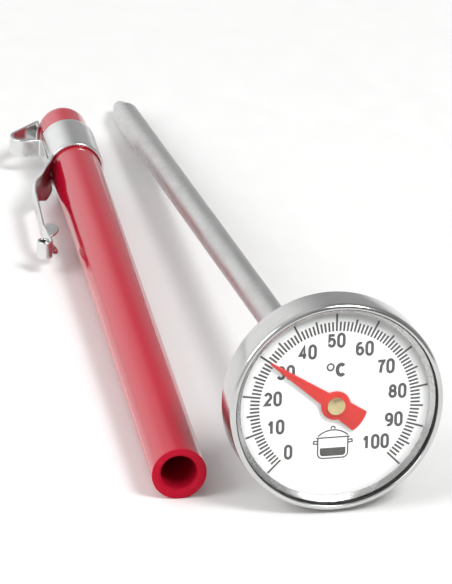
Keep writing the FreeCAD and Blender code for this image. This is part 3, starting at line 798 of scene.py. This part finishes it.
under_lip = rim_front - GASKET
turned_in = CASE_NECKED_R + TURN_IN_GAP
inner_wall = CASE_R + PRESS_GAP
bezel_section = eased([(LIP_R, under_lip), (LIP_R, BEZEL_FRONT, 0.12), (HEAD_R, BEZEL_FRONT, BEZEL_EDGE_R),
                       (HEAD_R, BEZEL_REAR, BEZEL_REAR_EDGE_R), (turned_in, BEZEL_REAR, 0.1),
                       (turned_in, BEZEL_REAR - SHEET + TURN_IN_GAP),
                       (inner_wall, BEZEL_REAR - SHEET + TURN_IN_GAP), (inner_wall, under_lip)], steps=10)
bezel_steel = metal("bezel_steel", THERMOMETER, BEZEL_STEEL, 0.13, lines=3.0, depth=0.12, smear=5.0, wear=0.2)
finished(turned("bezel_rolled", bezel_section, THERMOMETER, 256), bezel_steel, "head", "bezel_steel", "bezel")


# ---------------------------------------------------------------------------------------------
# Pointer: stamped from thin sheet and lacquered red, with a round hub and a flared tail as its
# counterweight. A domed brass cap holds it on the spindle.
READING = 30.0
POINTER_BACK = -0.3
POINTER_THICK = 0.2
POINTER_LENGTH = 11.05
POINTER_ROOT = 2.2
POINTER_TIP = 0.3
POINTER_HUB_R = 2.0
TAIL_R = 4.4
TAIL_ROOT = 2.6
TAIL_HALF_ANGLE = 21.4
CAP_R = 1.2
CAP_HEIGHT = 0.45
CAP_WALL = 0.27
POINTER_RED = (0.58, 0.026, 0.020)
BRASS = (0.72, 0.60, 0.33)


def leaves_hub(inside, outside):
    """Point where a straight side of the hand comes out of its round hub."""
    low, high = Vector(inside), Vector(outside)
    for _ in range(40):
        middle = (low + high) / 2
        low, high = (middle, high) if middle.length < POINTER_HUB_R else (low, middle)
    return low


def hand_outline():
    """Right half of the hand from its tip to its tail, then the same points mirrored."""
    tip = Vector((POINTER_TIP / 2, POINTER_LENGTH))
    spread = math.radians(TAIL_HALF_ANGLE)
    tail = Vector((TAIL_R * math.sin(spread), -TAIL_R * math.cos(spread)))
    upper = leaves_hub((POINTER_ROOT / 2, 0), tip)
    lower = leaves_hub((TAIL_ROOT / 2, 0), tail)
    first = math.degrees(math.atan2(upper.y, upper.x))
    last = math.degrees(math.atan2(lower.y, lower.x))
    half = [tuple(tip)] + arc((0, 0), POINTER_HUB_R, first, last, 20)
    half += arc((0, 0), TAIL_R, TAIL_HALF_ANGLE - 90, -90, 8)
    mirrored = [(-x, y) for x, y in reversed(half[:-1])]
    return half + mirrored


def pointer_hand():
    points, faces = plate(hand_outline(), POINTER_BACK, POINTER_BACK - POINTER_THICK)
    turn = Matrix.Rotation(math.radians(SCALE_START + SCALE_STEP * READING), 4, "Y")
    return softened(piece("pointer_hand_stamped", points, faces, THERMOMETER @ turn), 0.08, 3)


pointer_red = coating("pointer_red", THERMOMETER, POINTER_RED, 0.38, mottle=0.85, grain=2.0, depth=0.08)
finished(pointer_hand(), pointer_red, "pointer", "pointer_red", "pointer")

cap_back = POINTER_BACK - POINTER_THICK
cap_section = [(0, cap_back), (CAP_R, cap_back)]
cap_section += dome(CAP_R, cap_back - CAP_WALL, CAP_HEIGHT - CAP_WALL, 10)
brass = metal("brass", THERMOMETER, BRASS, 0.28, lines=6.0, depth=0.3, smear=1.5)
finished(turned("hub_cap_domed", cap_section, THERMOMETER, 64, 30), brass, "pointer", "brass", "hub_cap")


# ---------------------------------------------------------------------------------------------
# Movement: a bimetal strip wound into a helix in the end of the stem turns a thin spindle, which
# runs in two nylon bushes. Brass collet and coil hub are pressed on the spindle, and the coil's
# lower end is welded to a pin on the stem's tip.
COIL_START = 88.5
COIL_END = 124.5
COIL_R = 1.4
COIL_STRIP = 0.25
COIL_WIDTH = 1.5
COIL_PITCH = 2.4
BIMETAL = (0.42, 0.38, 0.33)
SPINDLE_STEEL = (0.55, 0.55, 0.545)
NYLON = (0.78, 0.76, 0.70)


def bimetal_helix():
    """Geometry Nodes tree: a flat strip swept along a helix about +Y."""
    tree, given, result = node_group(
        "bimetal_helix", "GeometryNodeTree",
        [("Turns", "NodeSocketFloat", 10.0), ("Radius", "NodeSocketFloat", 1.0),
         ("Length", "NodeSocketFloat", 10.0),
         ("Strip thickness", "NodeSocketFloat", 0.2), ("Strip width", "NodeSocketFloat", 1.0),
         ("Steps per turn", "NodeSocketInt", 24), ("Metal", "NodeSocketMaterial", None)],
        [("Geometry", "NodeSocketGeometry")])
    helix = node(tree, "GeometryNodeCurveSpiral",
                 {"Resolution": given["Steps per turn"], "Rotations": given["Turns"],
                  "Start Radius": given["Radius"], "End Radius": given["Radius"],
                  "Height": given["Length"]}).outputs[0]
    upright = node(tree, "GeometryNodeSetCurveNormal", {"Curve": helix}, mode="Z_UP").outputs[0]
    strip = node(tree, "GeometryNodeCurvePrimitiveQuadrilateral",
                 {"Width": given["Strip thickness"], "Height": given["Strip width"]}).outputs[0]
    swept = node(tree, "GeometryNodeCurveToMesh",
                 {"Curve": upright, "Profile Curve": strip, "Fill Caps": True})
    turn = node(tree, "GeometryNodeTransform", {"Geometry": swept.outputs[0],
                                                "Rotation": (-math.pi / 2, 0.0, 0.0)}).outputs[0]
    solid = node(tree, "GeometryNodeRealizeInstances", {0: turn}).outputs[0]
    done = node(tree, "GeometryNodeSetMaterial", {"Geometry": solid, "Material": given["Metal"]}).outputs[0]
    tree.links.new(done, result["Geometry"])
    return tree


bimetal = metal("bimetal", THERMOMETER, BIMETAL, 0.4, lines=3.0, depth=0.2, smear=2.0)
coil_length = COIL_END - COIL_START - COIL_WIDTH
coil = grown("bimetal_coil_wound", bimetal_helix(),
             {"Turns": coil_length / COIL_PITCH, "Radius": COIL_R - COIL_STRIP / 2, "Length": coil_length,
              "Strip thickness": COIL_STRIP, "Strip width": COIL_WIDTH, "Steps per turn": 24,
              "Metal": bimetal},
             THERMOMETER @ Matrix.Translation((0, COIL_START + COIL_WIDTH / 2, 0)))
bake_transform(coil)
finished(coil, bimetal, None, "bimetal", "bimetal_coil")

spindle_steel = metal("spindle_steel", THERMOMETER, SPINDLE_STEEL, 0.2, lines=10.0, depth=0.1, smear=3.0)
nylon = coating("nylon", THERMOMETER, NYLON, 0.45, mottle=0.9, grain=2.0, depth=0.1)
carried = {"spindle": spindle_steel, "coil_anchor": spindle_steel, "pointer_collet": brass, "coil_hub": brass,
           "upper_guide_bush": nylon, "lower_guide_bush": nylon, "neck_bush": neck_steel,
           "spring_washer": neck_steel}
for name, material in carried.items():
    given_finish(name, material)


# ---------------------------------------------------------------------------------------------
# Sheath: one moulding of glossy red plastic, a tube with a domed closed end and a chamfered
# mouth. It guards the stem in a pocket and is the handle when the stem goes through the loop.
SHEATH_R = 3.7
SHEATH_BORE_R = 2.45
SHEATH_LENGTH = 115.8
SHEATH_DEPTH = 114.1
MOUTH_CHAMFER_R = 2.85
MOUTH_CHAMFER = 0.5
MOUTH_EDGE = 0.15
SHEATH_RED = (0.50, 0.004, 0.026)

CLIP_STATION = 103.0
turn = joint("clip_turn")
along = Vector(turn["axis"]).normalized()
SHEATH = lay_down(Vector(turn["pos_m"]) - along * CLIP_STATION / 1000, along)

sheath_section = eased([(MOUTH_CHAMFER_R, 0, 0.06), (SHEATH_R, 0, MOUTH_EDGE),
                        (SHEATH_R, SHEATH_LENGTH - SHEATH_R)], closed=False)
sheath_section += arc((0, SHEATH_LENGTH - SHEATH_R), SHEATH_R, 5, 90, 24)
sheath_section[-1] = (0, SHEATH_LENGTH)
inside = arc((0, SHEATH_DEPTH - SHEATH_BORE_R), SHEATH_BORE_R, 90, 0, 12)
inside[0] = (0, SHEATH_DEPTH)
sheath_section += inside + [(SHEATH_BORE_R, MOUTH_CHAMFER)]
sheath_red = coating("sheath_red", SHEATH, SHEATH_RED, 0.12, mottle=0.93, smear=14.0, grain=0.35, depth=0.03,
                     coat=0.6)
gate_red = coating("sheath_red_matt", SHEATH, SHEATH_RED, 0.55, mottle=0.85, smear=3.0, grain=1.5, depth=0.1)
gate_red.node_tree.nodes["Principled BSDF"].inputs["Specular IOR Level"].default_value = 0.12
sheath = turned("sheath_moulded", sheath_section, SHEATH, 160)
finished(sheath, sheath_red, "sheath", "sheath_red", "sheath_tube")
sheath.data.materials.append(gate_red)
# The cut face, the chamfer and the bore are matt from the mould; the outside is glossy.
to_sheath = SHEATH.inverted()
for face in sheath.data.polygons:
    here = to_sheath @ face.center
    inner = math.hypot(here.x, here.z) < MOUTH_CHAMFER_R and here.y < SHEATH_DEPTH + 0.1
    face.material_index = int(inner or here.y < MOUTH_EDGE * 0.6)


# ---------------------------------------------------------------------------------------------
# Clip: one strip of nickel-plated spring sheet. A band grips the sheath, its end goes round into
# a loop for the stem, and the strip runs on under the band to the sprung pocket arm.
CLIP_SHEET = 0.45
CLIP_GRIP = 0.03
BAND_START = 98.5
BAND_END = 107.6
BAND_CUT = 70.0
BAND_TAIL = 112.0
TAB_SPREAD = 38.0
TAB_END = 113.6
TAB_BRIDGE = 111.4
TAB_OVERLAP = 4.0
STRIP_HALF = 1.35
STRIP_MID = SHEATH_R + CLIP_GRIP + CLIP_SHEET / 2
STRIP_END = 100.3
LOOP_PATH = [(113.3, STRIP_MID), (106.2, 11.33, 1.8), (106.75, STRIP_MID, 0.5), (STRIP_END, STRIP_MID)]
NICKEL = (0.76, 0.77, 0.765)


def spaced(route, spacing):
    """Route with points added on its long straight runs."""
    made = [Vector(route[0])]
    for point in route[1:]:
        here, there = made[-1], Vector(point)
        count = max(1, math.ceil((there - here).length / spacing))
        made += [here.lerp(there, k / count) for k in range(1, count + 1)]
    return made


def bar_section(flats=8, corner_steps=3):
    """Section of a strip with round edges, as (share across, corner across, corner out) triples."""
    rim = []
    for side, first in ((1, 0), (-1, 90), (-1, 180), (1, 270)):
        for k in range(corner_steps + 1):
            angle = math.radians(first + 90 * k / corner_steps)
            rim.append((side, math.cos(angle), math.sin(angle), 1 if first < 180 else -1))
        if first in (0, 180):
            rim += [(side * (1 - 2 * k / flats), 0.0, 1 if first == 0 else -1, 1 if first == 0 else -1)
                    for k in range(1, flats)]
    return rim


def strip(name, route, across, thick, half_width, place, gutter=None):
    """Bent sheet strip with round edges along a route; across is the direction of its width."""
    rim = bar_section()
    rounding = thick * 0.35
    across = Vector(across)
    points, faces = [], []
    for i, at in enumerate(route):
        before, after = route[max(i - 1, 0)], route[min(i + 1, len(route) - 1)]
        out = (after - before).normalized().cross(across).normalized()
        half = half_width(i, at)
        dish = gutter(i, at) if gutter else 0.0
        for side, corner_across, corner_out, face in rim:
            wide = side * (half - rounding) + rounding * corner_across
            high = face * (thick / 2 - rounding) + rounding * corner_out
            points.append(at + across * wide + out * (high + dish * (wide / half) ** 2))
    count = len(rim)
    for i in range(len(route) - 1):
        a, b = i * count, (i + 1) * count
        faces += [[a + k, a + (k + 1) % count, b + (k + 1) % count, b + k] for k in range(count)]
    faces += [list(range(count)), [len(points) - count + k for k in range(count)]]
    return piece(name, points, faces, place, 40)


def flat_route(path, spacing=0.6, steps=10):
    """Route in the plane of the sheath's axis from (station, reach) corners; reach is to the left."""
    return spaced([(-reach, s, 0) for s, reach in eased(path, closed=False, steps=steps)], spacing)


def wrapped_route(first, last, station, steps=96):
    """Route round the sheath, from angle first to last, counted from the top towards the loop."""
    turns = [math.radians(first + (last - first) * i / steps) for i in range(steps + 1)]
    return [Vector((-STRIP_MID * math.sin(a), station, STRIP_MID * math.cos(a))) for a in turns]


def ring_part(name, first, last, start, end, steps=96):
    return strip(name, wrapped_route(first, last, (start + end) / 2, steps), (0, 1, 0), CLIP_SHEET,
                 lambda i, at: (end - start) / 2, SHEATH)


def neck_half(station):
    """Half width of the strip: even round the loop, a waist before the arm's root, then a taper."""
    stations = [(60.0, 1.3), (89.0, 1.3), (92.0, 1.9), (94.6, 2.8), (98.0, 2.8), (99.6, 1.5),
                (100.6, 1.1), (103.5, STRIP_HALF), (120.0, STRIP_HALF)]
    for (low, narrow), (high, wide) in zip(stations, stations[1:]):
        if low <= station <= high:
            share = (station - low) / (high - low)
            return narrow + (wide - narrow) * share * share * (3 - 2 * share)
    return STRIP_HALF


clip_steel = metal("clip_steel", SHEATH, NICKEL, 0.20, lines=2.5, depth=0.12, smear=4.0, wear=0.5)
loop_route = flat_route(LOOP_PATH)
waist_from = next(i for i, at in enumerate(loop_route)
                  if i > len(loop_route) / 2 and at.x > -STRIP_MID - 0.05)
loop = strip("clip_loop", loop_route, (0, 0, 1), CLIP_SHEET,
             lambda i, at: neck_half(at.y) if i > waist_from else STRIP_HALF, SHEATH)
band = ring_part("clip_band_wrapped", BAND_CUT, BAND_TAIL - 360, BAND_START, BAND_END)
tab = ring_part("clip_tab", BAND_TAIL + TAB_SPREAD, BAND_TAIL - TAB_OVERLAP, BAND_END - CLIP_SHEET,
                TAB_END, 24)
bridge = ring_part("clip_bridge", BAND_TAIL, BAND_CUT, TAB_BRIDGE, TAB_END, 16)
finished(merged(band, tab, bridge, loop), clip_steel, "clip", "clip_steel", "clip_band")


# ---------------------------------------------------------------------------------------------
# Pocket arm: the same sheet, springing out from its root beside the band. Two ears are folded
# towards the sheath to grip the cloth, and the end is curled so that it slides over an edge.
ARM_SHEET = 0.4
ARM_PATH = [(100.5, STRIP_MID), (97.8, STRIP_MID, 1.6), (91.4, 7.25, 3.5), (77.0, 7.75, 6.0),
            (73.6, 7.3, 3.0), (71.65, 7.3)]
CURL_TURNS = [(0.95, 180.0), (0.70, 180.0), (0.46, 90.0)]
GUTTER_START = 88.0
GUTTER_END = 101.0
GUTTER_DEPTH = 0.8
EAR_CENTRE = 75.1
EAR_HALF = 2.2
EAR_REACH = 1.75
EAR_BASE = 7.55
UPPER_LEAN = 0.2
LOWER_LEAN = -0.6


def curled_route():
    """The arm's line, then shrinking half turns away from the sheath."""
    route = flat_route(ARM_PATH)
    here = route[-1]
    towards = Vector((-1, 0, 0))
    for radius, degrees in CURL_TURNS:
        centre = here + towards * radius
        steps = round(degrees / 9)
        spoke = here - centre
        for k in range(1, steps + 1):
            route.append(centre + Matrix.Rotation(math.radians(-degrees * k / steps), 3, "Z") @ spoke)
        here = route[-1]
        towards = (centre - here).normalized()
    return route


def root_gutter(i, at):
    """The wide root of the arm is dished lengthways, hollow towards the sheath."""
    share = (at.y - GUTTER_START) / (GUTTER_END - GUTTER_START)
    return -GUTTER_DEPTH * math.sin(math.pi * share) ** 2 if 0 < share < 1 else 0.0


def ear(name, top, lean):
    """Rounded ear folded from one edge of the arm; lean is how steeply it stands away from level."""
    sphere = (EAR_HALF ** 2 + EAR_REACH ** 2) / (2 * EAR_REACH)
    spread = math.degrees(math.asin(EAR_HALF / sphere))
    rim = arc((EAR_BASE - EAR_REACH + sphere, EAR_CENTRE), sphere, 180 + spread, 180 - spread, 20)
    root = EAR_BASE + 0.15
    outline = rim + [(root, EAR_CENTRE + EAR_HALF * 0.8), (root, EAR_CENTRE - EAR_HALF * 0.8)]
    count = len(outline)
    points = [(-reach, s, top - drop + lean * (EAR_BASE - reach)) for drop in (0, ARM_SHEET)
              for reach, s in outline]
    faces = [list(range(count)), list(range(count, 2 * count))]
    faces += [[i, (i + 1) % count, count + (i + 1) % count, count + i] for i in range(count)]
    return softened(piece(name, points, faces, SHEATH), 0.12, 3)


arm = strip("clip_arm_sprung", curled_route(), (0, 0, 1), ARM_SHEET, lambda i, at: neck_half(at.y), SHEATH,
            root_gutter)
ear_half = neck_half(EAR_CENTRE)
arm = merged(arm, ear("ear_upper", ear_half, UPPER_LEAN),
             ear("ear_lower", ARM_SHEET - ear_half, LOWER_LEAN))
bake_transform(arm)
finished(arm, clip_steel, None, "clip_steel", "clip_arm")


# ---------------------------------------------------------------------------------------------
# Table, light and camera: a pale table top, a soft tent of light that is brightest at the back
# left, a lamp high at the front right and a larger, weaker one at the left.
FLOOR_SIZE = 6.0
TENT_LIGHT = 1.08
RIGHT_TONE = 0.40
TOP_TONE = 0.75
FRONT_TONE = 0.55
FLOOR_TONE = (0.90, 0.90, 0.895)
AIM = (-0.0055, -0.0438, 0.0224)
DISTANCE = 0.804
AZIMUTH = -14.36
ELEVATION = 25.04
ROLL = 2.48
LENS = 369.9


def table_top():
    half = FLOOR_SIZE / 2
    made = piece("table_top", [(-half, -half, 0), (half, -half, 0), (half, half, 0), (-half, half, 0)],
                 [[0, 1, 2, 3]], Matrix.Identity(4))
    made.data.materials.append(coating("table_pale", Matrix.Scale(0.001, 4), FLOOR_TONE, 0.6, mottle=0.99))


def lamp(name, spot, size, power):
    light = bpy.data.lights.new(name, "AREA")
    light.size = size
    light.energy = power
    made = bpy.data.objects.new(name, light)
    made.location = spot
    made.rotation_mode = "QUATERNION"
    made.rotation_quaternion = (-Vector(spot)).to_track_quat("-Z", "Y")
    bpy.context.scene.collection.objects.link(made)


def light_tent():
    """White tent: bright at the back left, greyer at the back right and overhead."""
    world = bpy.data.worlds.new("light_tent")
    bpy.context.scene.world = world
    world.use_nodes = True
    tree = world.node_tree
    way = node(tree, "ShaderNodeTexCoord").outputs["Generated"]
    split = node(tree, "ShaderNodeSeparateXYZ", {0: way}).outputs
    side = node(tree, "ShaderNodeMapRange", {0: split[0], 1: -0.22, 2: 0.20, 3: 1.0, 4: RIGHT_TONE},
                interpolation_type="SMOOTHSTEP").outputs[0]
    high = node(tree, "ShaderNodeMapRange", {0: split[2], 1: 0.30, 2: 0.55, 3: 1.0, 4: TOP_TONE},
                interpolation_type="SMOOTHSTEP").outputs[0]
    tone = node(tree, "ShaderNodeMath", {0: side, 1: high}, operation="MULTIPLY").outputs[0]
    front = node(tree, "ShaderNodeMapRange", {0: split[1], 1: -0.7, 2: 0.1, 3: FRONT_TONE, 4: 1.0},
                 interpolation_type="SMOOTHSTEP").outputs[0]
    whole = node(tree, "ShaderNodeMath", {0: tone, 1: front}, operation="MULTIPLY").outputs[0]
    colour = node(tree, "ShaderNodeCombineXYZ", {0: whole, 1: whole, 2: whole}).outputs[0]
    back = tree.nodes["Background"]
    tree.links.new(colour, back.inputs["Color"])
    back.inputs["Strength"].default_value = TENT_LIGHT


def camera():
    lens = bpy.data.cameras.new("camera")
    lens.sensor_width = 36.0
    lens.lens = LENS
    lens.clip_start = 0.05
    lens.clip_end = 20.0
    made = bpy.data.objects.new("camera", lens)
    azimuth, elevation = math.radians(AZIMUTH), math.radians(ELEVATION)
    back = Vector((math.sin(azimuth) * math.cos(elevation), -math.cos(azimuth) * math.cos(elevation),
                   math.sin(elevation)))
    made.location = Vector(AIM) + back * DISTANCE
    turn = (-back).to_track_quat("-Z", "Y").to_matrix() @ Matrix.Rotation(math.radians(ROLL), 3, "Z")
    made.rotation_euler = turn.to_euler()
    bpy.context.scene.collection.objects.link(made)
    bpy.context.scene.camera = made


table_top()
lamp("front_right_lamp", (0.35, -0.55, 0.85), 0.35, 7.0)
lamp("left_lamp", (-0.75, -0.25, 0.6), 0.5, 3.5)
light_tent()
camera()
bpy.context.scene.view_settings.view_transform = "Standard"
